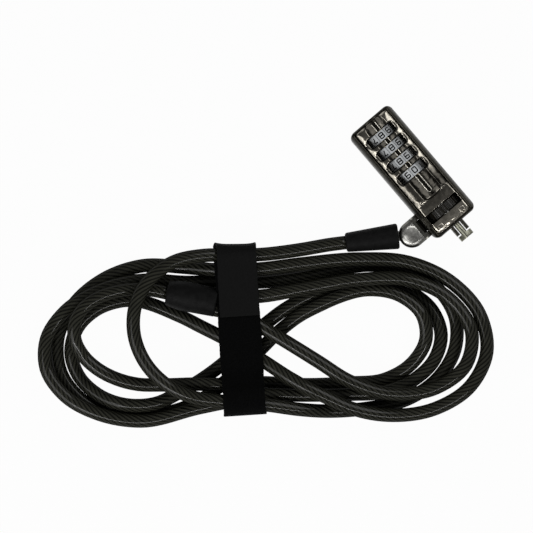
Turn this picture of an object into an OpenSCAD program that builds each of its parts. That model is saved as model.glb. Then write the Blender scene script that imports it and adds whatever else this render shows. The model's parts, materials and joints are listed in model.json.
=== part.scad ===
// Laptop cable lock: a four-dial combination lock with a turning T-bar for a
// laptop's security slot, and a two-metre tether coiled into a strapped hank.
// Units are millimetres. The lock lies on its back, face up, with its length
// along Y, the T-bar at -Y and the cable lug at -X.

/* [Body] */
// Width of the lock body across its face
body_w = 22.9; // [22.5:0.1:24]
// Length of the lock body without the T-bar
body_l = 59.8; // [59.5:0.1:62]
// Thickness of the lock body, back to face
body_t = 17.5; // [17.3:0.1:18]
// Corner radius of the body outline
body_corner = 3; // [2:0.1:4]
// Height of the spindle axis over the back
axis_z = 9; // [8.9:0.05:9.1]

/* [Dials] */
// Distance between neighbouring dials
dial_pitch = 6.95; // [6.9:0.05:7]
// Place of the first dial from the middle of the body
first_dial_y = 21; // [20.9:0.1:21.1]
// Distance between opposite fields of a dial
dial_across = 12.8; // [12.4:0.1:12.9]
// Width of one dial
dial_w = 4.1; // [3.8:0.1:4.2]
// Turn of each dial as it is left, in degrees
dial_turn = [0, 0, -11, 12]; // [-18:1:18]
// Length of a dial window across the face
window_w = 14.1; // [13.9:0.1:14.4]
// Width of a dial window along the face
window_h = 4.8; // [4.6:0.1:4.9]

/* [Thumbwheel and T-bar] */
// Place of the thumbwheel from the middle of the body
wheel_y = -21.1; // [-21.3:0.1:-20.9]
// Diameter of the thumbwheel over its ribs
wheel_d = 15.8; // [15.4:0.1:16]
// Width of the thumbwheel
wheel_w = 3.9; // [3.6:0.1:4]
// Number of ribs on the thumbwheel
wheel_ribs = 20; // [16:1:24]
// How far the T-bar stands out of the nose
bar_reach = 7.7; // [7.5:0.1:8]
// How far the guide legs stand out of the nose
leg_reach = 4.7; // [4.4:0.1:4.8]
// Length of the T-head across
head_w = 6.7; // [6.4:0.1:6.8]

/* [Cable lug] */
// How far the lug stands out of the side of the body
lug_reach = 12.3; // [12:0.1:12.6]
// Width of the lug along the body
lug_w = 11.7; // [11.4:0.1:12]
// Place of the lug from the middle of the body
lug_y = -20.8; // [-21:0.1:-20.6]

/* [Cable] */
// Diameter of the plastic-covered steel cable
cord_d = 6; // [5.5:0.1:6]
// Height step between crossing strands
layer_step = 6.45; // [6.45:0.05:6.6]
// Angle between the hank and the lock body, in degrees
hank_turn = -40.5; // [-42:0.5:-39]

/* [Hidden] */
$fn = 64;
slack = 0.05;      // running clearance of a shaft in its bore
eps = 0.01;        // overshoot of a cut

// Body: where its middle lies, so that the lock without its cable is centred
body_x = lug_reach / 2;
body_y = bar_reach / 2;
half_w = body_w / 2;
half_l = body_l / 2;
plate_t = 1.4;     // rear plate
cover_base = 13.9; // underside of the face cover
rim_z = 16;        // top of the housing's rim
cover_w = 18.4;
cover_l = body_l - 2.2;
pocket_w = 17.2;
pocket_end = 25.2; // inner face of both end walls
wall_y = [-17.7, -15.9]; // wall between the dials and the thumbwheel
step_y = -14.1;    // end of the finger channel
plateau_z = 16.3;  // flat nose of the face
channel_r = 6;
channel_x = 0.6;
channel_z = 14.7;  // floor of the finger channel
index_w = 1.9;

// Dials and their hubs
dial_y = [for (i = [0:3]) first_dial_y - i * dial_pitch];
dial_r = dial_across / 2 / cos(18);
dial_bore_r = 3.6;
hub_front = 2.65;
hub_back = 3.35;
flange_r = 4.5;
flange_w = 1.1;
spindle_r = 2.05;
shank_r = 1.45;
spindle_nose = -24.6;

// Lug and hinge
rivet_x = -half_w - lug_reach + lug_w / 2;
rivet_r = 1.55;
hinge_x = -half_w - 1.3;
hinge_r = 0.8;
ear_r = 2.6;       // half the lug's thickness too
ear_y = 3.3;       // inner face of each ear
knuckle_r = 1.7;
tongue_r = 2.8;
tongue_t = 2.4;
slot_t = 2.7;

// Cable
cord_r = cord_d / 2;
sleeve_turn = 7;   // of the cable sleeve against the hank, in degrees
sleeve_from = 6.6; // from the rivet, along the sleeve
sleeve_to = 29.4;
eye_level = 1.23;
band_t = 1.4;
strap_x = -76;

module at_body() translate([body_x, body_y, 0]) children();
module at_axis(y) translate([0, y, axis_z]) rotate([-90, 0, 0]) children();
module at_hinge(y) translate([hinge_x, lug_y + y, axis_z]) rotate([-90, 0, 0]) children();
module at_rivet() translate([rivet_x, lug_y, axis_z]) children();
module at_hank() translate([body_x + rivet_x, body_y + lug_y, 0]) rotate(hank_turn) children();

// A plan outline raised along Z, a cross section drawn out along Y and a side
// view drawn out along X
module slab(z0, z1) translate([0, 0, z0]) linear_extrude(height = z1 - z0) children();
module across_y(l) rotate([90, 0, 0]) linear_extrude(height = l, center = true) children();
module across_x(l) rotate([90, 0, 90]) linear_extrude(height = l, center = true) children();

module round_rect(w, l, r) {
    square([w - 2 * r, l], center = true);
    square([w, l - 2 * r], center = true);
    for (x = [-1, 1], y = [-1, 1]) translate([x * (w / 2 - r), y * (l / 2 - r)]) circle(r);
}

function arc(c, r, from, to, n = 8) =
    [for (i = [0:n]) let (a = from + (to - from) * i / n) c + r * [cos(a), sin(a)]];
function mirrored(half) = concat(half, [for (i = [len(half) - 1:-1:0]) [-half[i].x, half[i].y]]);

// ---- Housing, covers and screws ----

module housing_form() {
    base_r = 1.4;
    side_r = 6;
    end_r = 2;
    side = concat(arc([half_w - base_r, base_r], base_r, -90, 0, 4),
                  arc([half_w - side_r, 11.5], side_r, 0, 48));
    end = concat(arc([half_l - base_r, base_r], base_r, -90, 0, 4),
                 arc([half_l - end_r, 13.9], end_r, 0, 60, 6), [[half_l - 1.4, rim_z]]);
    intersection() {
        slab(0, rim_z) round_rect(body_w, body_l, body_corner);
        across_y(body_l) polygon(mirrored(side));
        across_x(body_w) polygon(mirrored(end));
    }
}

// The finger channel runs out at the back and ends at the nose in a leaning, curved wall
module channel_cut() {
    end_r = 8.4;
    lean = 0.8;
    intersection() {
        translate([channel_x, 0, channel_z + channel_r]) {
            rotate([90, 0, 0]) cylinder(r = channel_r, h = body_l + 2, center = true);
        }
        union() {
            translate([channel_x - 9, step_y + 2, 10]) cube([18, body_l, 20]);
            translate([channel_x, step_y - 0.4 + end_r, channel_z - eps]) {
                cylinder(r1 = end_r - lean, r2 = end_r + lean, h = 3.4);
            }
        }
    }
}

// The small pad on the bevel over the hinge, which lies half on the cover's edge
module bevel_pad() {
    pad_w = 2.4;
    pad_l = 5.6;
    out = 0.45 - half_w;
    intersection() {
        translate([out + pad_w / 2, lug_y - 0.3, 0]) slab(11.5, body_t) round_rect(pad_w, pad_l, 0.6);
        across_y(body_l) polygon([[out, 11.5], [out + 0.05, 15], [out + 0.7, 16.2], [out + 1, 16.4],
                                  [out + pad_w, 16.4], [out + pad_w, 11.5]]);
    }
}

module screw_spots() for (x = [-7.6, 7.6], y = [-26.7, 26.7]) translate([x, y, 0]) children();

module housing() color("#3b3a36") at_body() {
    neck_t = 2.6;
    pad_x = 1.85 - half_w;
    difference() {
        union() {
            difference() {
                housing_form();
                slab(-eps, plate_t) round_rect(cover_w + 1.3, body_l - 3.2, 2.4);
                slab(cover_base, body_t) round_rect(cover_w, cover_l, 2.4);
                for (y = [[wall_y[1], pocket_end], [-pocket_end, wall_y[0]]]) {
                    translate([-pocket_w / 2, y[0], plate_t - eps]) cube([pocket_w, y[1] - y[0], body_t]);
                }
                channel_cut();
                at_hinge(-lug_w / 2 - 0.25) cylinder(r = ear_r + 0.25, h = lug_w + 0.5);
            }
            at_hinge(-ear_y + 0.2) cylinder(r = knuckle_r, h = 2 * ear_y - 0.4);
            translate([hinge_x, lug_y - ear_y + 0.2, axis_z - neck_t / 2]) {
                cube([3.3, 2 * ear_y - 0.4, neck_t]);
            }
            bevel_pad();
        }
        difference() {
            translate([pad_x - 0.5, lug_y - 2.5, 16.1]) cube([1.1, 4.4, 2]);
            translate([pad_x - 0.2, lug_y - 2.2, 15]) cube([0.5, 3.8, 3]);
        }
        at_hinge(-ear_y) cylinder(r = hinge_r, h = 2 * ear_y);
        at_axis(wall_y[0] - 1) cylinder(r = spindle_r + slack, h = 4);
        at_axis(pocket_end - 1) cylinder(r = spindle_r + slack, h = 3.5);
        at_axis(-half_l - 1) cylinder(r = shank_r + slack, h = 6);
        at_axis(-half_l - 1) slab(0, 6) square([7.1, 2.7], center = true);
        screw_spots() cylinder(r = 0.75, h = 6.4);
        translate([-pocket_w / 2, wall_y[0] - 1, axis_z - 1.5]) cube([1.6, 4, 3]);
    }
}

module cover_form() {
    crown = concat([[cover_w / 2, cover_base]], arc([cover_w / 2 - 3.6, 13.06], 4.24, 32, 90, 8));
    side = [[half_l - 1.1, cover_base], [half_l - 1.1, 15.4], [half_l - 2.2, 16.7], [half_l - 4.5, 17.3],
            [step_y + 1.8, 17.3], [step_y, plateau_z + 0.1], [step_y - 2, plateau_z],
            [3 - half_l, plateau_z - 0.1], [1.1 - half_l, 15.4], [1.1 - half_l, cover_base]];
    intersection() {
        slab(cover_base, body_t) round_rect(cover_w, cover_l, 2.4);
        across_y(body_l) polygon(mirrored(crown));
        across_x(body_w) polygon(side);
    }
}

module face_cover() color("#4a4843") at_body() {
    valley_r = 4.5;
    difference() {
        cover_form();
        channel_cut();
        bevel_pad();
        for (y = dial_y) {
            translate([0, y, 0]) slab(cover_base - eps, body_t + 1) round_rect(window_w, window_h, 0.8);
            translate([0, y, 16.25 + valley_r]) {
                rotate([0, 90, 0]) cylinder(r = valley_r, h = 30, center = true);
            }
        }
        translate([0.2, wheel_y, 0]) slab(cover_base - eps, body_t) round_rect(16.8, 4.7, 0.6);
        translate([channel_x - index_w / 2, dial_y[3] + 1, channel_z - 0.45]) cube([index_w, 40, 3]);
        hull() {
            for (y = [-2.3, -12.1]) {
                translate([channel_x, y, channel_z - 0.45]) cylinder(r = index_w / 2, h = 3, $fn = 32);
            }
        }
    }
}

module rear_plate() color("#33322f") at_body() {
    difference() {
        slab(0, plate_t) round_rect(cover_w + 1.3, body_l - 3.2, 2.4);
        at_axis(wheel_y - wheel_w / 2 - 0.4) cylinder(r = wheel_d / 2 + 0.25, h = wheel_w + 0.8);
        screw_spots() cylinder(r = 0.75, h = plate_t + 1);
        screw_spots() translate([0, 0, -eps]) cylinder(r1 = 1.45, r2 = 0.75, h = 0.8);
    }
}

module cover_screws() color("#8c8c88") at_body() screw_spots() {
    difference() {
        union() {
            cylinder(r = 0.75, h = 6.2);
            cylinder(r1 = 1.44, r2 = 0.75, h = 0.8 - eps);
        }
        for (a = [0, 90]) rotate(a) translate([-0.85, -0.15, -eps]) cube([1.7, 0.3, 0.45]);
    }
}

// ---- Dials, hubs and what holds them ----

module dial(i) color("#9aa0a3") at_body() at_axis(dial_y[i] - dial_w / 2) rotate(dial_turn[i]) {
    difference() {
        cylinder(r = dial_r, h = dial_w, $fn = 10);
        translate([0, 0, -eps]) cylinder(r = dial_bore_r, h = dial_w + 1);
        for (k = [0:9]) {
            rotate(36 * k) translate([dial_r, 0, dial_w / 2]) cube([0.9, 0.55, dial_w + 1], center = true);
        }
    }
}

module dial_hub(i) color("#b8a66a") at_body() at_axis(dial_y[i] - hub_front) rotate(dial_turn[i]) {
    l = hub_front + hub_back;
    difference() {
        union() {
            cylinder(r = dial_bore_r, h = l);
            translate([0, 0, l - flange_w]) cylinder(r = flange_r, h = flange_w);
        }
        translate([0, 0, -eps]) cylinder(r = spindle_r + slack, h = l + 1);
        for (k = [0:9]) {
            rotate(36 * k + 18) translate([flange_r + 0.1, 0, l - flange_w - eps]) cylinder(r = 0.4, h = 2);
        }
        rotate(180) translate([flange_r - 0.8, -0.6, l - flange_w - eps]) cube([2, 1.2, 2]);
    }
}

module spindle() color("#a5a59f") at_body() {
    back = pocket_end + 2.3;
    difference() {
        at_axis(spindle_nose) cylinder(r = spindle_r, h = back - spindle_nose);
        at_axis(spindle_nose - 1) cylinder(r = shank_r, h = 7);
        translate([0, 5, axis_z + spindle_r]) cube([0.9, 34, 0.7], center = true);
    }
}

module spindle_clip() color("#77756f") at_body() {
    at_axis(24.5) {
        difference() {
            cylinder(r = 3.2, h = 0.5);
            translate([0, 0, -eps]) cylinder(r = spindle_r, h = 1);
            translate([-4, 0.9, -eps]) cube([8, 4, 1]);
        }
    }
}

module thumbwheel() color("#15151a") at_body() {
    at_axis(wheel_y - wheel_w / 2) {
        difference() {
            cylinder(r = wheel_d / 2, h = wheel_w);
            translate([0, 0, -eps]) cylinder(r = spindle_r, h = wheel_w + 1);
            for (k = [1:wheel_ribs]) {
                rotate(360 / wheel_ribs * k) translate([wheel_d / 2 + 0.1, 0, -eps]) cylinder(r = 0.75, h = 9);
            }
        }
    }
}

module t_bar() color("#b9b9a8") at_body() {
    head_t = 2.4;
    at_axis(-half_l - bar_reach) {
        cylinder(r = shank_r, h = half_l + bar_reach - 19);
        intersection() {
            cylinder(r = head_w / 2, h = head_t);
            slab(0, head_t) square([8, 2.6], center = true);
        }
    }
}

module nose_fork() color("#55534c") at_body() {
    root = -pocket_end;
    difference() {
        at_axis(root) slab(0, 1.3) square([12, 9], center = true);
        at_axis(root - 1) cylinder(r = spindle_r + 0.25, h = 4);
    }
    for (s = [-1, 1]) {
        intersection() {
            at_axis(-half_l - leg_reach) cylinder(r = 3.5, h = half_l + leg_reach + root + eps);
            at_axis(-half_l - leg_reach) {
                translate([s * 2.65, 0, 10]) cube([1.8, 2.6, 20], center = true);
            }
        }
    }
}

module fence_bar() color("#9c9a90") at_body() {
    front = -18.7;
    translate([-pocket_w / 2, front, axis_z - 1.4]) cube([1.4, 24.5 - front, 2.8]);
    for (y = dial_y) {
        translate([-pocket_w / 2 + 1, y + hub_back - flange_w / 2 - 0.45, axis_z - 0.5]) cube([2.9, 0.9, 1]);
    }
}

module detent_spring() color("#c2b280") at_body() {
    leaf_t = 0.3;
    tip_r = 0.45;
    translate([-3.5, -3, plate_t]) cube([7, 27.6, leaf_t]);
    for (y = dial_y) {
        translate([-tip_r, y + hub_back - flange_w + 0.1, plate_t]) {
            cube([2 * tip_r, 0.9, axis_z - flange_r - 0.15 - tip_r - plate_t]);
            translate([tip_r, 0, axis_z - flange_r - 0.15 - tip_r - plate_t]) {
                rotate([-90, 0, 0]) cylinder(r = tip_r, h = 0.9);
            }
        }
    }
}

washer_y = dial_y[3] - hub_front - 0.8;
module stack_washer() color("#8d8b84") at_body() at_axis(washer_y) {
    difference() {
        cylinder(r = 4.2, h = 0.7);
        translate([0, 0, -eps]) cylinder(r = spindle_r + 0.15, h = 1);
    }
}

module stack_spring() color("#a9a9a4") at_body() at_axis(wall_y[1]) {
    wire_r = 0.3;
    coil_r = 3;
    coils = 6;
    travel = washer_y - wall_y[1] - 2 * wire_r - 2 * eps;
    per_coil = 12;
    centre = [for (i = [0:coils * per_coil])
        let (a = 360 * i / per_coil)
        [coil_r * cos(a), coil_r * sin(a), wire_r + eps + travel * i / coils / per_coil]];
    tube(centre, wire_r, 6);
}

// ---- Hinged lug ----

// The lug's outline swept by a half section: round at its outer end, straight to the hinge
module lug_sweep(inner) {
    rotate_extrude() children();
    translate([inner / 2, 0, 0]) rotate([90, 0, 90]) linear_extrude(height = inner, center = true) {
        children();
        mirror([1, 0]) children();
    }
}

module swivel_lug() color("#45443f") at_body() {
    edge = lug_w / 2;
    half = [[0, -ear_r], [edge - 0.9, -ear_r], [edge, -ear_r + 1],
            [edge, ear_r - 1.2], [edge - 0.9, ear_r], [0, ear_r]];
    difference() {
        union() {
            at_rivet() lug_sweep(hinge_x - rivet_x) polygon(half);
            at_hinge(-edge) cylinder(r = ear_r, h = lug_w);
        }
        at_hinge(-ear_y) cylinder(r = knuckle_r + 0.2, h = 2 * ear_y);
        translate([hinge_x - 0.5, lug_y - ear_y, axis_z - 4]) cube([8, 2 * ear_y, 8]);
        at_hinge(-lug_w) cylinder(r = hinge_r + slack, h = 2 * lug_w);
        translate([rivet_x - lug_w, lug_y - lug_w, axis_z - slot_t / 2]) {
            cube([lug_w + tongue_r + 0.2, 2 * lug_w, slot_t]);
        }
        at_rivet() cylinder(r = rivet_r, h = 20, center = true);
        at_rivet() translate([0, 0, -ear_r - eps]) cylinder(r = 2.6, h = 0.5);
    }
}

module lug_cap() color("#8f8d86") at_body() at_rivet() translate([0, 0, ear_r]) {
    lip = lug_w / 2 - 0.95;
    inner = hinge_x - 1.85 - rivet_x;
    half = [[0, 0], [lip, 0], [lip, 0.1], [lip - 1.1, 0.6], [lip - 2, 0.22], [0, 0.22]];
    difference() {
        lug_sweep(inner) polygon(half);
        translate([inner, -lug_w, -eps]) cube([lug_w, 2 * lug_w, 2]);
    }
}

module swivel_rivet() color("#8a8984") at_body() at_rivet() {
    translate([0, 0, -ear_r]) cylinder(r = rivet_r, h = 2 * ear_r);
    translate([0, 0, -ear_r]) cylinder(r = 2.6, h = 0.5 - eps);
}

module hinge_pin() color("#8a8984") at_body() at_hinge(-lug_w / 2) cylinder(r = hinge_r, h = lug_w);

// ---- Cable: sleeves, strands and strap ----

// Along the cable sleeve: local -X runs from the rivet into the cable
module on_sleeve() at_hank() translate([0, 0, axis_z]) rotate(sleeve_turn) children();

module cable_tongue() color("#77766f") on_sleeve() {
    difference() {
        union() {
            cylinder(r = tongue_r, h = tongue_t, center = true);
            translate([-sleeve_from / 2, 0, 0]) cube([sleeve_from, 4.4, tongue_t], center = true);
            translate([-sleeve_from + 0.6, 0, 0]) rotate([0, -90, 0]) cylinder(r = 1.9, h = 14);
        }
        cylinder(r = rivet_r + slack, h = 9, center = true);
    }
}

module cable_sleeve() color("#121212") on_sleeve() {
    front_r = 5.65;
    back_r = 4.3;
    l = sleeve_to - sleeve_from;
    half = concat([[0, 0]], arc([front_r - 1, 1], 1, -90, 0, 5),
                  arc([back_r - 1.1, l - 1.1], 1.1, 8, 90, 5), [[0, l]]);
    difference() {
        translate([-sleeve_from, 0, 0]) rotate([0, -90, 0]) rotate_extrude() polygon(half);
        translate([-sleeve_from + 0.6, 0, 0]) rotate([0, -90, 0]) cylinder(r = 1.9, h = 14);
    }
}

// Strands are drawn in the hank's own plane: X and Y from the rivet, then a layer.
// The strap's lower run lifts every strand a little where it passes under them.
function lift(x) = let (t = abs(x - strap_x) / 50) t < 1 ? 2 * (1 - t * t) ^ 2 : 0;
function laid(p) = [p.x, p.y, cord_r + layer_step * p.z + lift(p.x)];

// A bight: part of a tilted ellipse, with one layer value for each of its points
function bight(c, r, tilt, from, to, layers) =
    [for (i = [0:len(layers) - 1])
        let (a = from + (to - from) * i / (len(layers) - 1), u = r.x * cos(a), v = r.y * sin(a))
        [c.x + u * cos(tilt) - v * sin(tilt), c.y + u * sin(tilt) + v * cos(tilt), layers[i]]];

sleeve_way = [-cos(sleeve_turn), -sin(sleeve_turn)];
lead_layer = (axis_z - cord_r) / layer_step;
function on_way(d) = [each d * sleeve_way, lead_layer];

lead_keys = [on_way(sleeve_to), on_way(sleeve_to + 6), [-49, -6.5, 0.95], [-66, -8.6, 1]];
hank_keys = concat(
    [[-79, -9.2, 1.1]],
    bight([-89, -41], [34, 31.2], -25, 118, 282, [1.66, 2.2, 2.55, 2.55, 2.4, 2.3, 2.3, 2.25]),
    [[-84, -73.2, 2.1], [-64, -74.9, 1.65], [-49, -77, 1.15], [-36, -77.8, 0.5]],
    bight([-19, -45], [39.2, 31.4], 7, -95, 82, [0.1, 0, 0, 0, 0, 0, 0, 0]),
    [[-32, -15.7, 0], [-49, -19.5, 0], [-66, -21.4, 0], [-86, -22.6, 0]],
    bight([-115, -51], [47, 31], 4, 68, 262, [0, 0.3, 0.9, 1, 0.9, 0.8, 0.9, 1, 1]),
    [[-94, -76.3, 1], [-84, -74.2, 0.95], [-64, -70.5, 0.85], [-49, -70.7, 0.8]],
    bight([-22.1, -45.5], [34.4, 25], 2, -100, 75, [0.85, 0.6, 0.4, 0.2, 0, 0, 0, 0]),
    [[-36, -23.8, 0], [-48, -28.4, 0], [-56, -33, 0], [-64, -39, 0], [-72, -46, 0], [-81, -55, 0]],
    bight([-121.5, -52.2], [28, 23], -5, -42, -255, [0.15, 0.75, 0.95, 0.4, 0, 0, 0, 0.1, 0.1]),
    [[-102, -36, 0.2], [-93, -40.5, 0.4], [-84, -45, 0.8], [-66, -55.3, 1.2], [-54, -63, 1.65],
     [-45, -68, 1.9], [-36, -72.4, 1.9]],
    bight([-12, -45], [46.2, 34.2], -10, -108, 112, [1.75, 1.2, 1, 1, 1, 1, 1, 1, 1.1]),
    [[-49, -13.2, 1.1], [-66, -15.2, 1], [-80, -15.8, 0.8], [-92, -15.2, 0.4], [-101, -14.4, 0.1]],
    bight([-117, -46.8], [41.2, 32.7], 18, 78, 262, [0, 0, 0, 0, 0, 0, 0, 0]),
    [[-92, -72.4, 0], [-83, -65.4, 0], [-75, -58.4, 0], [-67, -51, 0], [-60, -44.6, 0], [-49, -36, 0.3],
     [-40, -30.8, 0.6]],
    bight([-20.6, -45], [26.6, 19.9], 10, 112, -112, [0.78, 0.84, 0.85, 0.8, 0.45, 0.1, 0, 0]),
    [[-49, -66.2, 0], [-64, -65.4, 0], [-73, -65.2, 0.56], [-84, -66, 1.15], [-94, -65.8, 1.2]],
    bight([-118.5, -45.4], [30.4, 20.6], -10, -68, -238,
          [1.2, 1.2, 1.2, 1.25, 1.45, 1.8, 1.95, 1.95, 1.9, 1.7]),
    [[-114, -24.5, 1.26]]);
eye_keys = concat(
    [[-66, -27.4, 1.25], [-49, -24.2, 1.35]],
    bight([-8.5, -44.5], [35.4, 25.4], -9, 118, -118, [1.4, 1.37, 1.3, 1.3, 1.3, 1.35, 1.6, 1.75]),
    [[-40.5, -56.4, 1.65], [-54, -48, 1.45], [-63, -42.6, 1.25], [-72, -37.4, 1.2]]);

// The loop sleeve's two ends, its direction, and the step from its axis to each strand of the eye
loop_from = laid([-107.8, -25.7, eye_level]);
loop_to = laid([-87.2, -29.7, eye_level]);
loop_way = (loop_to - loop_from) / norm(loop_to - loop_from);
beside = 3.28 * [-loop_way.y, loop_way.x, 0] / norm([loop_way.x, loop_way.y]);
main_route = concat([for (p = concat(lead_keys, hank_keys)) laid(p)], [loop_from]);
eye_route = concat([loop_to + beside, loop_to + beside + cord_d * loop_way], [for (p = eye_keys) laid(p)],
                   [loop_to - beside + cord_d * loop_way, loop_to - beside]);

// A smooth curve through keys p: spans first to last, in steps of about the given length
function slope(p, i) =
    let (a = p[max(i - 1, 0)], b = p[i], c = p[min(i + 1, len(p) - 1)], ab = norm(b - a), bc = norm(c - b))
    ab == 0 ? (c - b) / bc : bc == 0 ? (b - a) / ab : ((c - b) / bc * ab + (b - a) / ab * bc) / (ab + bc);
function span(p, i, t) =
    let (d = norm(p[i + 1] - p[i]), m = slope(p, i) * d, n = slope(p, i + 1) * d)
    (2 * t ^ 3 - 3 * t ^ 2 + 1) * p[i] + (t ^ 3 - 2 * t ^ 2 + t) * m
        + (3 * t ^ 2 - 2 * t ^ 3) * p[i + 1] + (t ^ 3 - t ^ 2) * n;
function curve(p, first, last, step) =
    [for (i = [first:last - 1]) let (n = max(1, ceil(norm(p[i + 1] - p[i]) / step)))
        for (k = [0:n - 1]) span(p, i, k / n), p[last]];

// A tube along points, closed at both ends, with triangles for faces. The end faces are square to
// the given directions.
module tube(centre, r, sides, way_in, way_out) {
    n = len(centre);
    rings = [for (i = [0:n - 1])
        let (way = i == 0 && way_in ? way_in : i == n - 1 && way_out ? way_out
                 : centre[min(i + 1, n - 1)] - centre[max(i - 1, 0)],
             out = cross(way, [0, 0, 1]) / norm(cross(way, [0, 0, 1])),
             up = cross(out, way) / norm(way))
        for (k = [0:sides - 1]) centre[i] + r * (out * sin(360 * k / sides) + up * cos(360 * k / sides))];
    walls = [for (i = [0:n - 2], k = [0:sides - 1])
        let (a = i * sides + k, b = i * sides + (k + 1) % sides)
        each [[a, a + sides, b], [b, a + sides, b + sides]]];
    first = [for (k = [1:sides - 2]) [0, k, k + 1]];
    far = (n - 1) * sides;
    last = [for (k = [1:sides - 2]) [far, far + k + 1, far + k]];
    polyhedron(points = rings, faces = concat(walls, first, last));
}

// Least gap of a tube to itself, over pairs that lie more than the skip apart along it
function own_gap(p, step, skip) =
    min([for (i = [0:len(p) - 1]) for (j = [i + ceil(skip / step):1:len(p) - 1]) norm(p[i] - p[j])]) - cord_d;

lead_end = len(lead_keys) - 1;

module cable_lead() color("#2c2d28") at_hank() {
    tube(curve(main_route, 0, lead_end, 12), cord_r, 8, [each sleeve_way, 0], slope(main_route, lead_end));
}

module cable_hank() color("#2c2d28") at_hank() {
    tube(curve(main_route, lead_end, len(main_route) - 1, 8), cord_r, 6,
         slope(main_route, lead_end), loop_way);
}

module cable_eye() color("#2c2d28") at_hank() {
    tube(curve(eye_route, 0, len(eye_route) - 1, 8), cord_r, 6, loop_way, -loop_way);
}

module loop_sleeve() color("#121212") at_hank() {
    r = 6.6;
    l = norm(loop_to - loop_from);
    half = concat([[0, 0]], arc([r - 2.1, 1], 1, -90, -20, 4), [[r - 0.4, 4], [r, 7]],
                  arc([r - 1, l - 0.8], 0.8, 0, 90, 4), [[0, l]]);
    translate(loop_from) rotate([0, acos(loop_way.z), atan2(loop_way.y, loop_way.x)]) {
        rotate_extrude() polygon(half);
    }
}

// Strap outline in side view: along the strap from its middle, and height
strap_turn = 3.7;
strap_w = 18.4;
strap_mid = [-76.1, -41.4];
strap_path = [[36.5, 3.2], [36.5, 13.4], [35.6, 16.4], [32.8, 17.6], [22, 16.8], [13, 16.4], [4, 16.2],
    [-13, 16], [-18, 16.3], [-24, 19], [-27.5, 21.2], [-30.5, 21.9], [-34, 21.7], [-37.2, 18.7],
    [-37.5, 3.2], [-35.5, band_t], [34.8, band_t]];
function outward(p, i) =
    let (n = len(p), a = p[(i + n - 1) % n], b = p[i], c = p[(i + 1) % n],
         u = (b - a) / norm(b - a), v = (c - b) / norm(c - b))
    [u.y + v.y, -u.x - v.x] / (1 + u * v);
function widened(p, by) = [for (i = [0:len(p) - 1]) p[i] + by * outward(p, i)];

module tie_strap() color("#101010") at_hank() translate([each strap_mid, 0]) rotate(strap_turn) {
    rotate([90, 0, 90]) linear_extrude(height = strap_w, center = true) {
        difference() {
            polygon(widened(strap_path, band_t));
            polygon(strap_path);
        }
    }
}

union() {  // cable_hank
    echo(least_gap = own_gap(curve(main_route, 0, len(main_route) - 1, 3), 3, 21));
    echo(eye_gap = own_gap(curve(eye_route, 0, len(eye_route) - 1, 3), 3, 21));
}

housing();
face_cover();
rear_plate();
cover_screws();
nose_fork();
fence_bar();
detent_spring();
stack_washer();
stack_spring();
hinge_pin();
dial(0);  // dial_1
dial(1);  // dial_2
dial(2);  // dial_3
dial(3);  // dial_4
dial_hub(0);  // dial_hub_1
dial_hub(1);  // dial_hub_2
dial_hub(2);  // dial_hub_3
dial_hub(3);  // dial_hub_4
spindle();
spindle_clip();
thumbwheel();
t_bar();
swivel_lug();
lug_cap();
swivel_rivet();
cable_tongue();
cable_sleeve();
cable_lead();
cable_hank();
loop_sleeve();
cable_eye();
tie_strap();
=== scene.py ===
import json
import math
import random

import bpy
from mathutils import Matrix, Vector
from mathutils.bvhtree import BVHTree

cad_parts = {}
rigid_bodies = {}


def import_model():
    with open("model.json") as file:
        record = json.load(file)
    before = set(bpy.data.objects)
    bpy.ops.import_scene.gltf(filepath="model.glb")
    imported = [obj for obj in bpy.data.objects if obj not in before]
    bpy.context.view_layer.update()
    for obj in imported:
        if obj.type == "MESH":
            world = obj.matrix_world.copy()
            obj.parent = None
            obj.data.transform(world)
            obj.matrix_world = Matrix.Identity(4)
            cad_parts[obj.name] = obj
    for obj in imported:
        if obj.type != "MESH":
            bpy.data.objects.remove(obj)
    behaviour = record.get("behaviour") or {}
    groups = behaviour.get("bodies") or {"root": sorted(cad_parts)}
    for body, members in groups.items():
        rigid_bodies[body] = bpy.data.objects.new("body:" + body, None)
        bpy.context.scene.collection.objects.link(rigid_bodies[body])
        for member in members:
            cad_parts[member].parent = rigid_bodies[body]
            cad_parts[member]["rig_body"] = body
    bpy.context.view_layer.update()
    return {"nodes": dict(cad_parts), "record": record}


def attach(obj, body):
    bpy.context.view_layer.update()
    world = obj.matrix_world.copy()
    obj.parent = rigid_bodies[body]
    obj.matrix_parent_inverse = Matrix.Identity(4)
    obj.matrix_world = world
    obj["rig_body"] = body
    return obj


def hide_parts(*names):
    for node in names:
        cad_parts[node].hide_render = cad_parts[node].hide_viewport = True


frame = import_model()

nodes = frame["nodes"]
mm = 0.001

# camera: straight above the hank, turned so that its runs lie level
camera = {"above": (-0.0696, 0.0139), "turn": -40.5, "height": 3.0, "width": 0.2345, "focus": 0.0095,
          "sensor": 36}

view = bpy.data.cameras.new("viewCamera")
view.sensor_width = camera["sensor"]
view.lens = camera["sensor"] * (camera["height"] - camera["focus"]) / camera["width"]
viewer = bpy.data.objects.new("viewCamera", view)
viewer.location = (*camera["above"], camera["height"])
viewer.rotation_euler = (0, 0, math.radians(camera["turn"]))
bpy.context.scene.collection.objects.link(viewer)
bpy.context.scene.camera = viewer
bpy.context.scene.view_settings.view_transform = "Standard"


# small helpers for pieces

def clearSelection():
    for item in bpy.context.view_layer.objects:
        item.select_set(False)


def makeActive(piece):
    clearSelection()
    piece.select_set(True)
    bpy.context.view_layer.objects.active = piece


def applyAll(piece):
    makeActive(piece)
    for modifier in list(piece.modifiers):
        bpy.ops.object.modifier_apply(modifier=modifier.name)


def settle(piece, place=None):
    # the place goes into the mesh, so the object itself stays at the origin
    if place is not None:
        piece.matrix_world = place @ piece.matrix_world
    makeActive(piece)
    bpy.context.view_layer.update()
    bpy.ops.object.transform_apply(location=True, rotation=True, scale=True)
    return piece


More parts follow.
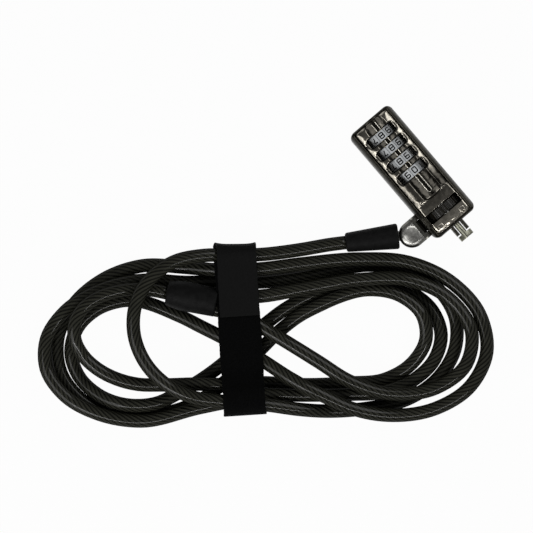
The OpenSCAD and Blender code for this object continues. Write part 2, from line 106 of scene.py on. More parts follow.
def inScene(name, data):
    item = bpy.data.objects.new(name, data)
    bpy.context.scene.collection.objects.link(item)
    return item


def meshPiece(name, points, faces, layer, corners):
    # a smooth mesh, with a place on its UV layer for every corner of its faces
    mesh = bpy.data.meshes.new(name)
    mesh.from_pydata(points, [], faces)
    mesh.update()
    for face in mesh.polygons:
        face.use_smooth = True
    for loop, place in zip(mesh.uv_layers.new(name=layer).data, corners):
        loop.uv = place
    return inScene(name, mesh)


def strokePiece(name, paths, radius, roundness):
    # round strokes along paths, each given with whether it is closed
    curve = bpy.data.curves.new(name, "CURVE")
    curve.dimensions = "3D"
    curve.bevel_depth = radius
    curve.bevel_resolution = roundness
    curve.use_fill_caps = True
    for path, closed in paths:
        spline = curve.splines.new("POLY")
        spline.points.add(len(path) - 1)
        spline.use_cyclic_u = closed
        for target, point in zip(spline.points, path):
            target.co = (*point, 1)
    makeActive(inScene(name, curve))
    bpy.ops.object.convert(target="MESH")
    return bpy.context.object


def paint(piece, material):
    piece.data.materials.clear()
    piece.data.materials.append(material)


# small helpers for materials

def startMaterial(name, **values):
    material = bpy.data.materials.new(name)
    material.use_nodes = True
    shader = material.node_tree.nodes["Principled BSDF"]
    for label, value in values.items():
        shader.inputs[label.replace("_", " ")].default_value = value
    return material, shader


def add(material, kind, settings=None, **values):
    node = material.node_tree.nodes.new(kind)
    for label, value in (settings or {}).items():
        setattr(node, label, value)
    for label, value in values.items():
        node.inputs[label.replace("_", " ")].default_value = value
    return node


def link(material, source, target):
    material.node_tree.links.new(source, target)


def maths(material, operation, first, second=None, third=None):
    node = add(material, "ShaderNodeMath", {"operation": operation})
    for slot, value in enumerate((first, second, third)):
        if value is None:
            continue
        if isinstance(value, (int, float)):
            node.inputs[slot].default_value = value
        else:
            link(material, value, node.inputs[slot])
    return node.outputs[0]


def splitPlace(material, source):
    split = add(material, "ShaderNodeSeparateXYZ")
    link(material, source, split.inputs["Vector"])
    return split.outputs["X"], split.outputs["Y"]


def ramp(material, source, *stops):
    node = add(material, "ShaderNodeValToRGB")
    link(material, source, node.inputs["Fac"])
    for element, (place, shade) in zip(node.color_ramp.elements, stops):
        element.position = place
        element.color = (*shade, 1)
    return node.outputs["Color"]


def noise(material, scale, detail=3.0, rough=0.5):
    spot = add(material, "ShaderNodeTexCoord")
    node = add(material, "ShaderNodeTexNoise", Scale=scale, Detail=detail, Roughness=rough)
    link(material, spot.outputs["Object"], node.inputs["Vector"])
    return node.outputs["Fac"]


def bump(material, shader, height, strength, distance, under=None, socket="Normal"):
    node = add(material, "ShaderNodeBump", Strength=strength, Distance=distance)
    link(material, height, node.inputs["Height"])
    if under is not None:
        link(material, under, node.inputs["Normal"])
    link(material, node.outputs["Normal"], shader.inputs[socket])
    return node.outputs["Normal"]


# cable: one steel wire rope under a smoked clear cover, in millimetres and degrees
cable = {"diameter": 6, "layer": 6.45, "turn": -40.5, "rivet": (-11.75, -16.95), "sides": 20, "step": 2.5,
         "inset": 1.2, "sleeveTurn": 7, "sleeveAxis": 9, "mouth": 29.4, "out": 35.4, "beside": 3.28}
lifting = {"x": -76, "reach": 50, "height": 2}          # the strap's lower run lies under the hank


def lift(x):
    t = abs(x - lifting["x"]) / lifting["reach"]
    return lifting["height"] * (1 - t * t) ** 2 if t < 1 else 0


def laid(x, y, layer):
    return Vector((x, y, cable["diameter"] / 2 + cable["layer"] * layer + lift(x)))


def bight(cx, cy, rx, ry, tilt, start, end, *layers):
    # a stretch of a tilted ellipse, with one point for each layer given
    points = []
    for i, layer in enumerate(layers):
        a = math.radians(start + (end - start) * i / (len(layers) - 1))
        u, v, t = rx * math.cos(a), ry * math.sin(a), math.radians(tilt)
        points.append((cx + u * math.cos(t) - v * math.sin(t), cy + u * math.sin(t) + v * math.cos(t), layer))
    return points


sleeveTurn = math.radians(cable["sleeveTurn"])
sleeveWay = Vector((-math.cos(sleeveTurn), -math.sin(sleeveTurn), 0))
leadLayer = (cable["sleeveAxis"] - cable["diameter"] / 2) / cable["layer"]
mouth = cable["mouth"] * sleeveWay
leadOut = cable["out"] * sleeveWay
# the route in the hank's own plane, from the cable sleeve to the loop sleeve: x, y and layer
mainKeys = [
    (mouth.x, mouth.y, leadLayer), (leadOut.x, leadOut.y, leadLayer), (-49, -6.7, 0.95), (-66, -8.8, 1),
    (-79, -9.2, 1.1),
    *bight(-89, -41, 34, 31.2, -25, 118, 282, 1.66, 2.2, 2.55, 2.55, 2.4, 2.3, 2.3, 2.25),
    (-84, -73.2, 2.1), (-64, -74.9, 1.65), (-49, -77, 1.15), (-36, -77.8, 0.5),
    *bight(-19, -45, 39.2, 31.4, 7, -95, 82, 0.1, 0, 0, 0, 0, 0, 0, 0),
    (-32, -15.1, 0), (-49, -18.8, 0), (-66, -20.9, 0), (-86, -20.9, 0),
    *bight(-115, -51, 47, 31, 4, 68, 262, 0, 0.3, 0.9, 1, 0.9, 0.8, 0.9, 1, 1),
    (-94, -76.3, 1), (-84, -74.2, 0.95), (-64, -70.5, 0.85), (-49, -70.7, 0.8),
    *bight(-22.1, -45.5, 35.1, 25, 2, -100, 75, 0.85, 0.6, 0.4, 0.2, 0, 0, 0, 0),
    (-36, -23.8, 0), (-48, -28.4, 0), (-56, -33, 0), (-64, -39, 0), (-72, -46, 0), (-81, -55, 0),
    *bight(-121.8, -52.1, 28.5, 23.2, -5, -42, -255, 0.15, 0.75, 0.95, 0.4, 0, 0, 0, 0.1, 0.1),
    (-102, -36, 0.2), (-93, -40.5, 0.4), (-84, -45, 0.8), (-66, -55.3, 1.2), (-54, -63, 1.65),
    (-45, -68, 1.9), (-36, -72.4, 1.9),
    *bight(-12, -45, 45.4, 34.2, -10, -108, 112, 1.75, 1.2, 1, 1, 1, 1, 1, 1, 1.1),
    (-49, -13, 0.95), (-66, -15.1, 1), (-80, -15.8, 0.8), (-92, -15.2, 0.4), (-101, -14.4, 0.1),
    *bight(-116.6, -46.8, 40.6, 32.7, 18, 78, 262, 0, 0, 0, 0, 0, 0, 0, 0),
    (-92, -72.4, 0), (-83, -65.4, 0), (-75, -58.4, 0), (-67, -51, 0), (-60.3, -44.3, 0), (-49.3, -35.6, 0.3),
    (-40, -30.8, 0.6),
    *bight(-20.6, -45, 27.3, 20.5, 10, 112, -112, 0.74, 0.79, 0.82, 0.8, 0.5, 0.14, 0, 0),
    (-49, -66.2, 0), (-64, -65.4, 0), (-73, -65.2, 0.56), (-84, -66, 1.15), (-94, -65.8, 1.2),
    *bight(-118.5, -45.4, 30.4, 20.6, -10, -68, -238,
           1.2, 1.2, 1.2, 1.25, 1.45, 1.8, 1.95, 1.95, 1.9, 1.7),
    (-114, -24.5, 1.26),
]
# the end loop, out of the loop sleeve and back into it
eyeKeys = [
    (-66, -27.1, 1.25), (-49, -24.2, 1.35),
    *bight(-8.5, -44.5, 35.4, 25.4, -9, 118, -118, 1.46, 1.42, 1.33, 1.3, 1.3, 1.35, 1.6, 1.75),
    (-40.5, -56.4, 1.65), (-54, -48, 1.45), (-63, -42.6, 1.25), (-72, -37.4, 1.2),
]
loopFrom, loopTo = laid(-107.8, -25.7, 1.23), laid(-87.2, -29.7, 1.23)
loopWay = (loopTo - loopFrom).normalized()
beside = cable["beside"] * Vector((-loopWay.y, loopWay.x, 0)).normalized()
straight = cable["diameter"] * loopWay
mainRoute = [laid(*key) for key in mainKeys] + [loopFrom]
eyeRoute = [loopTo + beside, loopTo + beside + straight, *(laid(*key) for key in eyeKeys),
            loopTo - beside + straight, loopTo - beside]


def toModel(point):
    # from the hank's own plane, in millimetres, to the model in metres
    a = math.radians(cable["turn"])
    x = cable["rivet"][0] + point.x * math.cos(a) - point.y * math.sin(a)
    y = cable["rivet"][1] + point.x * math.sin(a) + point.y * math.cos(a)
    return Vector((x, y, point.z)) * mm


def slopeAt(keys, i):
    before, here, after = keys[max(i - 1, 0)], keys[i], keys[min(i + 1, len(keys) - 1)]
    back, on = here - before, after - here
    if back.length == 0:
        return on.normalized()
    if on.length == 0:
        return back.normalized()
    return (on.normalized() * back.length + back.normalized() * on.length) / (back.length + on.length)


def smoothed(keys, step):
    # a smooth line through the keys, with a point about every step
    line = []
    for i in range(len(keys) - 1):
        gap = (keys[i + 1] - keys[i]).length
        m, n = slopeAt(keys, i) * gap, slopeAt(keys, i + 1) * gap
        count = max(1, math.ceil(gap / step))
        for k in range(count):
            t = k / count
            line.append((2 * t**3 - 3 * t**2 + 1) * keys[i] + (t**3 - 2 * t**2 + t) * m
                        + (3 * t**2 - 2 * t**3) * keys[i + 1] + (t**3 - t**2) * n)
    return line + [keys[-1]]


def ropeTube(name, route):
    line = smoothed(route, cable["step"])
    # both ends sit a little inside their sleeves
    line[0] = line[0] - cable["inset"] * (line[1] - line[0]).normalized()
    line[-1] = line[-1] + cable["inset"] * (line[-1] - line[-2]).normalized()
    line = [toModel(p) for p in line]
    sides, radius = cable["sides"], cable["diameter"] / 2 * mm
    along, points = [0.0], []
    for i, centre in enumerate(line):
        if i:
            along.append(along[-1] + (centre - line[i - 1]).length)
        way = line[min(i + 1, len(line) - 1)] - line[max(i - 1, 0)]
        out = way.cross(Vector((0, 0, 1))).normalized()
        up = out.cross(way).normalized()
        for k in range(sides):
            a = 2 * math.pi * k / sides
            points.append(centre + radius * (out * math.sin(a) + up * math.cos(a)))
    faces, corners = [], []
    for i in range(len(line) - 1):
        for k in range(sides):
            a, b = i * sides + k, i * sides + (k + 1) % sides
            faces.append((a, a + sides, b + sides, b))
            corners += [(k / sides, along[i]), (k / sides, along[i + 1]),
                        ((k + 1) / sides, along[i + 1]), ((k + 1) / sides, along[i])]
    last = (len(line) - 1) * sides
    faces += [tuple(range(sides)), tuple(last + k for k in reversed(range(sides)))]
    corners += [(0.5, 0)] * sides + [(0.5, along[-1])] * sides
    return meshPiece(name, points, faces, "alongCable", corners), line


# the rope's wires with their place on the ramp and their colour, the grooves between them painted dark as
# shade, its stains, and the clear cover
ropeLook = {"wires": 11, "lead": 34, "groove": (0.08, (0.0024, 0.0024, 0.0020)),
            "crest": (0.75, (0.026, 0.026, 0.020)),
            "cloud": 190, "cloudShare": 0.7, "grain": 1300, "grainShare": 0.25, "shift": -0.22, "level": 0.55,
            "relief": 0.9, "ripple": 260, "rippleRelief": 0.06, "depth": 0.0004,
            "coverRoughness": 0.12, "cover": 1.0, "coverIndex": 1.28, "coverFade": 1.6}


def cableMaterial():
    material, shader = startMaterial("cableVinyl", Roughness=0.5, Specular_IOR_Level=0.0,
                                     Coat_IOR=ropeLook["coverIndex"],
                                     Coat_Roughness=ropeLook["coverRoughness"])
    uv = add(material, "ShaderNodeUVMap", {"uv_map": "alongCable"})
    around, along = splitPlace(material, uv.outputs["UV"])
    wires = maths(material, "MULTIPLY", around, ropeLook["wires"])
    phase = maths(material, "MULTIPLY_ADD", along, -ropeLook["wires"] / (ropeLook["lead"] * mm), wires)
    crest = maths(material, "ABSOLUTE", maths(material, "SINE", maths(material, "MULTIPLY", phase, math.pi)))
    cloudy = noise(material, ropeLook["cloud"], 2.0)
    grain = noise(material, ropeLook["grain"], 1.0)
    speckle = maths(material, "MULTIPLY_ADD", grain, ropeLook["grainShare"], ropeLook["shift"])
    level = maths(material, "MULTIPLY_ADD", cloudy, ropeLook["cloudShare"], speckle)
    tone = maths(material, "MULTIPLY", crest, maths(material, "ADD", level, ropeLook["level"]))
    # painted shade: the ramp darkens the grooves between the wires below the crests' own steel tone
    link(material, ramp(material, tone, ropeLook["groove"], ropeLook["crest"]), shader.inputs["Base Color"])
    # the cover shines less where it turns away, so that both sides of the cable stay dark
    facing = add(material, "ShaderNodeLayerWeight", Blend=0.5)
    fade = maths(material, "MULTIPLY", facing.outputs["Facing"], ropeLook["coverFade"])
    gloss = maths(material, "SUBTRACT", 1.0, fade)
    clamped = add(material, "ShaderNodeClamp")
    link(material, maths(material, "MULTIPLY", gloss, ropeLook["cover"]), clamped.inputs["Value"])
    link(material, clamped.outputs[0], shader.inputs["Coat Weight"])
    bump(material, shader, crest, ropeLook["relief"], ropeLook["depth"])
    ripple = noise(material, ropeLook["ripple"], 1.0)
    bump(material, shader, ripple, ropeLook["rippleRelief"], ropeLook["depth"], socket="Coat Normal")
    return material


cableLook = cableMaterial()
mainCable, mainLine = ropeTube("mainCable", mainRoute)
paint(mainCable, cableLook)
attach(mainCable, "tether")
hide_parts("cable_lead", "cable_hank")
endLoop, endLine = ropeTube("endLoop", eyeRoute)
paint(endLoop, cableLook)
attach(endLoop, "tether")
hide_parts("cable_eye")
print("cable laid:", len(mainLine) + len(endLine), "rings")


# strap: a woven hook-and-loop tie whose end, the flap, lies over itself
strap = {"middle": (-76.1, -41.4), "turn": 3.7, "width": 18.6, "layer": 0.95, "step": 0.8, "across": 14,
         "flapWidth": 17.4, "flapFrom": 46, "taper": 14, "shift": 0.3, "flapShift": 0.75,
         "endShift": 0.35, "endFrom": 30, "lowest": 0.55, "edge": 0.25, "edgeAngle": 60,
         "wave": 0.12, "waveRun": 6.3, "waveTurn": 1.3, "fray": 0.1, "curl": 0.25,
         "foldFrom": 34, "foldCorner": 0.75, "foldMiddle": 0.3, "foldLean": 0.5}
# the middle line of the band: place along the strap from its middle, and height
strapPath = [(30, 17.2), (22, 16.8), (13, 16.5), (4, 16.3), (-9, 16.1), (-18, 16.3), (-24, 19), (-27.5, 21.2),
             (-30.5, 21.9), (-34, 21.7), (-37.2, 18.7), (-37.5, 12), (-37.5, 3.4), (-36.7, 1.5), (-35, 1.05),
             (-20, 1.0), (20, 1.0), (33.9, 1.05), (35.7, 1.6), (36.4, 3.4), (36.6, 13.2), (35.9, 16.4),
             (33.4, 18.4), (28, 18.3), (22, 18), (13, 17.7), (5.4, 17.5)]


def strapPlace(v, z, u):
    a = math.radians(strap["turn"])
    x = strap["middle"][0] + u * math.cos(a) - v * math.sin(a)
    y = strap["middle"][1] + u * math.sin(a) + v * math.cos(a)
    return toModel(Vector((x, y, z)))


def makeStrap():
    random.seed(7)
    line = smoothed([Vector((v, z, 0)) for v, z in strapPath], strap["step"])
    total = sum((b - a).length for a, b in zip(line, line[1:]))
    points, faces, corners, marks = [], [], [], []
    run, count = 0.0, strap["across"]
    for i, p in enumerate(line):
        if i:
            run += (p - line[i - 1]).length
        marks.append(run)
        left = total - run
        flap = min(1, max(0, (strap["flapFrom"] - left) / strap["taper"]))  # the flap is a little narrower
        half = (strap["width"] + (strap["flapWidth"] - strap["width"]) * flap) / 2
        shift = strap["shift"] + strap["flapShift"] * flap
        shift -= strap["endShift"] * flap * max(0, 1 - left / strap["endFrom"])
        for k in range(count + 1):
            s = -1 + 2 * k / count
            wave = strap["wave"] * math.sin(run / strap["waveRun"] + strap["waveTurn"] * s)
            wave += random.uniform(-strap["fray"], strap["fray"])
            curl = -strap["curl"] * s ** 6 * (1 - flap)
            sag = 0
            if p.x > strap["foldFrom"]:                     # the fold at the top sags between its corners
                sag = strap["foldCorner"] * (s ** 4 - strap["foldMiddle"]) - strap["foldLean"] * s
            aside = s * half + shift + wave * abs(s) ** 3
            points.append(strapPlace(p.x + sag, max(strap["lowest"], p.y + curl), aside))
    for i in range(len(line) - 1):
        for k in range(count):
            a = i * (count + 1) + k
            faces.append((a, a + 1, a + count + 2, a + count + 1))
            for j, m in ((k, i), (k + 1, i), (k + 1, i + 1), (k, i + 1)):
                corners.append((j / count * strap["width"] * mm, marks[m] * mm))
    piece = meshPiece("tieStrap", points, faces, "alongStrap", corners)
    thick = piece.modifiers.new("thickness", "SOLIDIFY")
    thick.thickness = strap["layer"] * mm
    thick.offset = 0
    soft = piece.modifiers.new("softEdge", "BEVEL")
    soft.width = strap["edge"] * mm
    soft.segments = 2
    soft.limit_method = "ANGLE"
    soft.angle_limit = math.radians(strap["edgeAngle"])
    applyAll(piece)
    return piece, total


tieStrap, strapLength = makeStrap()
print("strap folded:", round(strapLength), "mm long")

# the fabric: a fuzzy loop side up to the fold, then plain weave, its thread pitches in metres
weave = {"fromEnd": 82, "warp": 0.00062, "weft": 0.00055, "fuzz": 1500, "fuzzShare": 0.6, "threadShare": 0.4,
         "threadHeight": 0.5, "relief": 0.6, "depth": 0.0002,
         "woven": ((0.15, (0.0035, 0.0035, 0.0035)), (0.85, (0.010, 0.010, 0.010))),
         "fuzzy": ((0.3, (0.0004, 0.0004, 0.0004)), (0.75, (0.0028, 0.0028, 0.003)))}


def strapMaterial():
    material, shader = startMaterial("strapFabric", Roughness=0.9, Specular_IOR_Level=0.04, Sheen_Weight=0.02,
                                     Sheen_Roughness=0.4)
    uv = add(material, "ShaderNodeUVMap", {"uv_map": "alongStrap"})
    across, along = splitPlace(material, uv.outputs["UV"])
    pile = maths(material, "LESS_THAN", along, (strapLength - weave["fromEnd"]) * mm)
    warp = maths(material, "SINE", maths(material, "MULTIPLY", across, 2 * math.pi / weave["warp"]))
    weft = maths(material, "SINE", maths(material, "MULTIPLY", along, 2 * math.pi / weave["weft"]))
    threads = maths(material, "MULTIPLY_ADD", maths(material, "MULTIPLY", warp, weft), 0.5, 0.5)
    fuzz = noise(material, weave["fuzz"], 4.0, 0.7)
    tone, height = (maths(material, "MULTIPLY_ADD", fuzz, weave["fuzzShare"],
                          maths(material, "MULTIPLY", threads, weave[share]))
                    for share in ("threadShare", "threadHeight"))
    mix = add(material, "ShaderNodeMix", {"data_type": "RGBA"})
    link(material, pile, mix.inputs["Factor"])
    link(material, ramp(material, tone, *weave["woven"]), mix.inputs["A"])
    link(material, ramp(material, fuzz, *weave["fuzzy"]), mix.inputs["B"])
    link(material, mix.outputs["Result"], shader.inputs["Base Color"])
    bump(material, shader, height, weave["relief"], weave["depth"])
    return material


strapFinish = strapMaterial()
paint(tieStrap, strapFinish)
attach(tieStrap, "tether")
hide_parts("tie_strap")


# finishes of the metal and moulded parts: the scales of their stains, wear and grain, and how deep they are
surface = {"stain": 420, "darkAt": 0.3, "lightAt": 0.7, "wear": 900, "wearShare": 0.7, "wearLevel": 0.65,
           "grain": 4000, "grainDepth": 0.00005, "waveDepth": 0.0006}


def metal(name, colour, rough, wavy=0.0, waviness=450, fine=0.15, stain=0.35, metallic=1.0, shine=0.5):
    material, shader = startMaterial(name, Metallic=metallic, Specular_IOR_Level=shine)
    dark = tuple(c * (1 - stain) for c in colour)
    light = tuple(min(1, c * (1 + stain)) for c in colour)
    stained = ramp(material, noise(material, surface["stain"], 4.0, 0.6),
                   (surface["darkAt"], dark), (surface["lightAt"], light))
    link(material, stained, shader.inputs["Base Color"])
    worn = maths(material, "MULTIPLY_ADD", noise(material, surface["wear"], 3.0),
                 rough * surface["wearShare"], rough * surface["wearLevel"])
    link(material, worn, shader.inputs["Roughness"])
    last = bump(material, shader, noise(material, surface["grain"], 2.0), fine, surface["grainDepth"])
    if wavy:
        bump(material, shader, noise(material, waviness, 1.5, 0.4), wavy, surface["waveDepth"], under=last)
    return material


# painted shade and painted highlights on the cover, as darker and lighter zones of it; a slope is: from, to,
# tone at the start, tone at the end
channel = {"x": 6.75, "half": 4.0, "edge": 1.2, "shade": 0.26, "noseStart": -9.3,
           "right": (-3, 8, 0.22, 2.2), "left": (-5, 28, 0.85, 1.6), "nose": (-20, -12, 2.8, 1.2)}


def slopeTone(material, source, start, end, first, last):
    node = add(material, "ShaderNodeMapRange", From_Min=start * mm, From_Max=end * mm,
               To_Min=first, To_Max=last)
    link(material, source, node.inputs["Value"])
    return node.outputs["Result"]


def blended(material, share, one, other):
    return maths(material, "MULTIPLY_ADD", share, maths(material, "SUBTRACT", one, other), other)


def paintCoverShadeAndHighlights(material):
    # painted shade darkens the finger channel below the flanks beside it; the flanks get painted highlights
    # away from the nose and painted shade on the right flank near the nose; the nose gets a painted highlight
    # that grows towards its tip
    shader = material.node_tree.nodes["Principled BSDF"]
    colour = shader.inputs["Base Color"].links[0].from_socket
    spot = add(material, "ShaderNodeTexCoord")
    x, y = splitPlace(material, spot.outputs["Object"])
    aside = maths(material, "ABSOLUTE", maths(material, "SUBTRACT", x, channel["x"] * mm))
    outside = slopeTone(material, aside, channel["half"], channel["half"] + channel["edge"], 0.0, 1.0)
    onLeft = maths(material, "LESS_THAN", x, channel["x"] * mm)
    onNose = maths(material, "LESS_THAN", y, channel["noseStart"] * mm)
    left, right, nose = (slopeTone(material, y, *channel[zone]) for zone in ("left", "right", "nose"))
    tone = blended(material, outside, blended(material, onLeft, left, right), channel["shade"])
    tone = blended(material, onNose, nose, tone)
    mix = add(material, "ShaderNodeMix", {"data_type": "RGBA", "blend_type": "MULTIPLY"}, Factor=1.0)
    link(material, colour, mix.inputs["A"])
    link(material, tone, mix.inputs["B"])
    link(material, mix.outputs["Result"], shader.inputs["Base Color"])


finishes = {
    "gunmetal": metal("gunmetal", (0.034, 0.032, 0.026), 0.36, wavy=0.05),
    "black_chrome": metal("coverChrome", (0.150, 0.140, 0.120), 0.22, wavy=0.42),
    "steel": metal("steel", (0.42, 0.42, 0.40), 0.30),
    "nickel": metal("nickel", (0.22, 0.22, 0.176), 0.36, wavy=0.1),
    "spring_brass": metal("springBrass", (0.20, 0.17, 0.11), 0.32),
    "dial_silver": metal("dialSilver", (0.43, 0.445, 0.455), 0.42, stain=0.10, metallic=0.0, shine=0.3),
    "black_plastic": metal("wheelPlastic", (0.006, 0.005, 0.003), 0.3, metallic=0.0, shine=0.22),
    "sleeve_rubber": metal("sleeveRubber", (0.0055, 0.0055, 0.0055), 0.55, metallic=0.0, fine=0.5,
                           shine=0.06),
    "cable_vinyl": cableLook,
    "strap_fabric": strapFinish,
}
# painted shade and painted highlights go onto the cover's chrome
paintCoverShadeAndHighlights(finishes["black_chrome"])
# parts whose finish differs from the others of their slot
special = {
    "lug_cap": metal("capSilver", (0.36, 0.355, 0.335), 0.36, wavy=0.3, waviness=260),
    "swivel_lug": metal("lugSilver", (0.15, 0.147, 0.132), 0.34, wavy=0.2, waviness=260),
    "nose_fork": metal("forkMetal", (0.13, 0.125, 0.11), 0.28, wavy=0.3),
}
for part in frame["record"]["subparts"]:
    paint(nodes[part["node"]], special.get(part["node"], finishes[part["material_slot"]]))
print("finishes on", len(nodes), "parts")


# cast parts with softened edges: the width of each part's rounding
castEdges = {"face_cover": 0.28, "housing": 0.14, "lug_cap": 0.10, "t_bar": 0.12,
             "nose_fork": 0.12, "thumbwheel": 0.12, "loop_sleeve": 0.5, "cable_sleeve": 0.5}
rounding = {"merge": 0.000002, "flat": 0.6, "edgeAngle": 28, "segments": 3, "strayShare": 0.5,
            "smoothAngle": 32}


def softened(name, width):
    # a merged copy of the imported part, its sharp edges rounded off
    piece = nodes[name].copy()
    piece.data = nodes[name].data.copy()
    piece.parent = None
    for label in list(piece.keys()):
        del piece[label]
    bpy.context.scene.collection.objects.link(piece)
    piece.name = name.replace("_", "") + "Cast"
    makeActive(piece)
    bpy.ops.object.mode_set(mode="EDIT")
    bpy.ops.mesh.select_all(action="SELECT")
    bpy.ops.mesh.remove_doubles(threshold=rounding["merge"])
    bpy.ops.mesh.customdata_custom_splitnormals_clear()
    bpy.ops.mesh.dissolve_limited(angle_limit=math.radians(rounding["flat"]))
    bpy.ops.object.mode_set(mode="OBJECT")
    bevel = piece.modifiers.new("rounding", "BEVEL")
    bevel.width = width * mm
    bevel.segments = rounding["segments"]
    bevel.limit_method = "ANGLE"
    bevel.angle_limit = math.radians(rounding["edgeAngle"])
    bevel.use_clamp_overlap = False
    bevel.loop_slide = False
    applyAll(piece)
    # where the rounding threw a point far off the part, the point goes back onto it
    packed = nodes[name].data
    skin = BVHTree.FromPolygons([v.co for v in packed.vertices], [tuple(f.vertices) for f in packed.polygons])
    for vertex in piece.data.vertices:
        near, *_, away = skin.find_nearest(vertex.co)
        if away > rounding["strayShare"] * width * mm:
            vertex.co = near
    makeActive(piece)
    bpy.ops.object.shade_smooth_by_angle(angle=math.radians(rounding["smoothAngle"]))
    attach(piece, nodes[name]["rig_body"])
    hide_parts(name)
    return piece


cast = {name: softened(name, width) for name, width in castEdges.items()}

# each sleeve is drawn out a little at one end: its other end, the end that moves, and by how much
drawnOut = {"loop_sleeve": (toModel(loopFrom), toModel(loopTo), 1.4),
            "cable_sleeve": (toModel(mouth), toModel(Vector((0, 0, mouth.z))), 0.6)}
for name, (start, end, amount) in drawnOut.items():
    way = end - start
    for vertex in cast[name].data.vertices:
        if (vertex.co - start).dot(way) > 0.5 * way.length_squared:
            vertex.co += amount * mm * way.normalized()
print("edges softened on", len(cast), "cast parts")


# marks on the lock's body, which has its own zero at bodyX, bodyY
numbers = {"bodyX": 6.15, "bodyY": 3.85, "height": 1.18, "width": 0.94, "stroke": 0.29, "cut": 0.26,
           "inlay": 0.16, "fields": 10, "across": 12.8, "axis": 9.0, "first": 21.0, "pitch": 6.95,
           "turn": (0, 0, -11, 12), "atMark": (8, 8, 8, 0)}
strokes = {
    0: [[(-1, -1), (-1, 1), (1, 1), (1, -1), (-1, -1)]],
    1: [[(-0.55, 0.5), (0.1, 1), (0.1, -1)]],
    2: [[(-1, 1), (1, 1), (1, 0), (-1, 0), (-1, -1), (1, -1)]],
    3: [[(-1, 1), (1, 1), (1, -1), (-1, -1)], [(-0.6, 0), (1, 0)]],
    4: [[(-1, 1), (-1, 0), (1, 0)], [(0.55, 1), (0.55, -1)]],
    5: [[(1, 1), (-1, 1), (-1, 0), (1, 0), (1, -1), (-1, -1)]],
    6: [[(0.9, 1), (-1, 1), (-1, -1), (1, -1), (1, 0), (-1, 0)]],
    7: [[(-1, 1), (1, 1), (-0.3, -1)]],
    8: [[(-1, -1), (-1, 1), (1, 1), (1, -1), (-1, -1)], [(-1, 0), (1, 0)]],
    9: [[(-0.9, -1), (1, -1), (1, 1), (-1, 1), (-1, 0), (1, 0)]],
}


def onBody(x, y, z):
    return Matrix.Scale(mm, 4) @ Matrix.Translation((numbers["bodyX"] + x, numbers["bodyY"] + y, z))


def cutCorners(path):
    # every corner of a stroke is taken off, also where a closed stroke meets itself
    points = [Vector((x * numbers["width"], y * numbers["height"], 0)) for x, y in path]
    closed = path[0] == path[-1]
    if closed:
        points = points[:-1]
    out = []
    for i, here in enumerate(points):
        if not closed and i in (0, len(points) - 1):
            out.append(here)
            continue
        for beyond in (points[i - 1], points[(i + 1) % len(points)]):
            out.append(here + (beyond - here).normalized() * numbers["cut"])
    return out, closed


def dialNumbers(i):
    pieces = []
    for k in range(numbers["fields"]):
        value = (numbers["atMark"][i] + k) % numbers["fields"]
        piece = strokePiece("digit", [cutCorners(path) for path in strokes[value]], numbers["stroke"], 1)
        flat = Matrix.Diagonal((1, 1, numbers["inlay"], 1))     # the paint is a thin inlay
        upright = Matrix.Rotation(math.pi, 4, "Z")              # read with the nose up
        outwards = Matrix.Translation((0, 0, numbers["across"] / 2))
        around = Matrix.Rotation(math.radians(360 / numbers["fields"] * k + numbers["turn"][i]), 4, "Y")
        centre = onBody(0, numbers["first"] - i * numbers["pitch"], numbers["axis"])
        pieces.append(settle(piece, centre @ around @ outwards @ upright @ flat))
    clearSelection()
    for piece in pieces:
        piece.select_set(True)
    bpy.context.view_layer.objects.active = pieces[0]
    bpy.ops.object.join()
    joined = bpy.context.object
    joined.name = "dialNumbers_" + str(i + 1)
    paint(joined, inkFinish)
    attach(joined, "dial_unit_" + str(i + 1))
    return joined


# the index groove's rounded lips, which run between the windows and join at the nose, painted lighter than
# the cover as a painted highlight
groove = {"x": 0.6, "half": 0.95, "z": 14.78, "lip": 0.2, "facet": 15, "round": (-11.6, -2.4),
          "straight": [(2.65, 4.6), (9.6, 11.55), (16.55, 18.5), (23.5, 27.4)]}


def indexLips():
    left, right = groove["x"] - groove["half"], groove["x"] + groove["half"]
    end, start = groove["round"]
    turn = [(groove["x"] - groove["half"] * math.cos(math.radians(a)),
             end + groove["half"] * (1 - math.sin(math.radians(a))), groove["z"])
            for a in range(0, 181, groove["facet"])]
    paths = [([(left, start, groove["z"])] + turn + [(right, start, groove["z"])], False)]
    for low, high in groove["straight"]:
        paths += [([(x, low, groove["z"]), (x, high, groove["z"])], False) for x in (left, right)]
    piece = settle(strokePiece("indexLips", paths, groove["lip"], 2), onBody(0, 0, 0))
    # painted highlight: the lips' metal is much lighter than the cover's chrome
    paint(piece, metal("lipMetalPaintedHighlight", (0.55, 0.53, 0.47), 0.3, wavy=0.3))
    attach(piece, "lock_body")


indexLips()

# a plain open padlock and a closed one, drawn with the nose up, painted lighter than the cover as a painted
# highlight on their raised outlines
signs = {"x": 6.0, "y": -26.2, "height": 16.3, "stroke": 0.2, "body": (1.15, 0.85), "shackle": 0.75,
         "neck": 0.35, "swing": 0.9, "facet": 20}
# painted highlight: the signs' metal is much lighter than the cover around them
signHighlightFinish = metal("signMetalPaintedHighlight", (0.62, 0.59, 0.52), 0.36, wavy=0.3)


def padlockSign(name, x, swing):
    w, h = signs["body"]
    top = -h - signs["neck"]
    bend = [(swing - signs["shackle"] * math.cos(math.radians(a)),
             top - signs["shackle"] * math.sin(math.radians(a)), 0) for a in range(0, 181, signs["facet"])]
    body = [(-w, -h, 0), (w, -h, 0), (w, h, 0), (-w, h, 0)]
    shackle = [(bend[0][0], -h, 0)] + bend
    piece = strokePiece(name, [(body, True), (shackle, False)], signs["stroke"], 2)
    settle(piece, onBody(x, signs["y"], signs["height"]))
    paint(piece, signHighlightFinish)
    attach(piece, "lock_body")


padlockSign("openSign", -signs["x"], signs["swing"])
padlockSign("closedSign", signs["x"], 0)

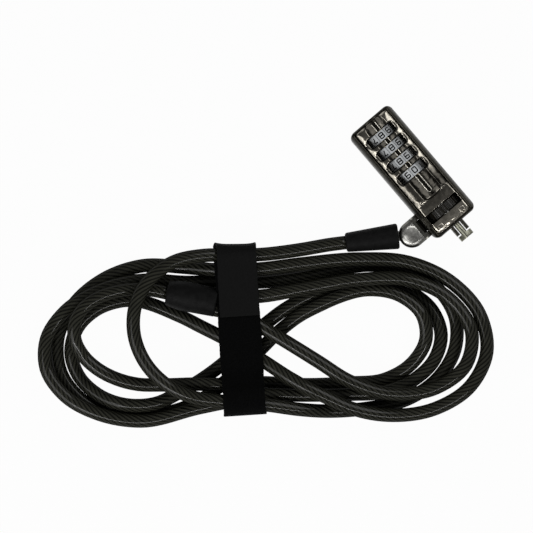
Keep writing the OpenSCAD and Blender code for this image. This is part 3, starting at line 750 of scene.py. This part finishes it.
inkFinish = metal("dialInk", (0.002, 0.002, 0.002), 0.6, metallic=0.0, stain=0.2, shine=0.05)
dialMarks = [dialNumbers(i) for i in range(len(numbers["turn"]))]
print("numbers on", len(dialMarks), "dials")


# floor, lamps and sky
studio = {"sky": 0.14, "floor": 0.45, "glow": 0.97, "radius": 6, "sides": 64, "drop": 0.00015, "aim": 0.01}

bpy.ops.mesh.primitive_circle_add(vertices=studio["sides"], radius=studio["radius"], fill_type="NGON",
                                  location=(0, 0, -studio["drop"]))
floor = settle(bpy.context.object)
floor.name = "studioFloor"
material, shader = startMaterial("paperFloor", Roughness=0.9, Base_Color=(*[studio["floor"]] * 3, 1))
rays = add(material, "ShaderNodeLightPath")
glow = add(material, "ShaderNodeEmission", Strength=1.0, Color=(1, 1, 1, 1))
seen = maths(material, "MAXIMUM", rays.outputs["Is Camera Ray"],
             maths(material, "MAXIMUM", rays.outputs["Is Glossy Ray"], rays.outputs["Is Transmission Ray"]))
blend = add(material, "ShaderNodeMixShader")
link(material, maths(material, "MULTIPLY", seen, studio["glow"]), blend.inputs[0])
link(material, shader.outputs[0], blend.inputs[1])
link(material, glow.outputs[0], blend.inputs[2])
link(material, blend.outputs[0], material.node_tree.nodes["Material Output"].inputs["Surface"])
paint(floor, material)

sky = bpy.data.worlds.new("softSky")
sky.use_nodes = True
sky.node_tree.nodes["Background"].inputs["Color"].default_value = (1, 1, 1, 1)
sky.node_tree.nodes["Background"].inputs["Strength"].default_value = studio["sky"]
bpy.context.scene.world = sky

# every lamp: its direction in the view's plane (degrees, 0 to the right), its rise, distance, size and power
lamps = [
    {"name": "frontStrip", "side": -90, "rise": 52, "away": 0.75, "size": (0.9, 0.05), "power": 2.4},
    {"name": "leftBox", "side": 220, "rise": 39, "away": 0.75, "size": (0.5, 0.5), "power": 2.5},
    {"name": "rightBox", "side": 40, "rise": 39, "away": 0.75, "size": (0.5, 0.5), "power": 2.3},
]
middle = Vector((*camera["above"], studio["aim"]))
for lamp in lamps:
    light = bpy.data.lights.new(lamp["name"], "AREA")
    light.shape = "RECTANGLE"
    light.size, light.size_y = lamp["size"]
    light.energy = lamp["power"]
    holder = inScene(lamp["name"], light)
    turn = math.radians(lamp["side"] + camera["turn"])
    rise = math.radians(lamp["rise"])
    way = Vector((math.cos(turn) * math.cos(rise), math.sin(turn) * math.cos(rise), math.sin(rise)))
    holder.location = middle + lamp["away"] * way
    holder.rotation_euler = way.to_track_quat("Z", "Y").to_euler()
print("studio lit with", len(lamps), "lamps")
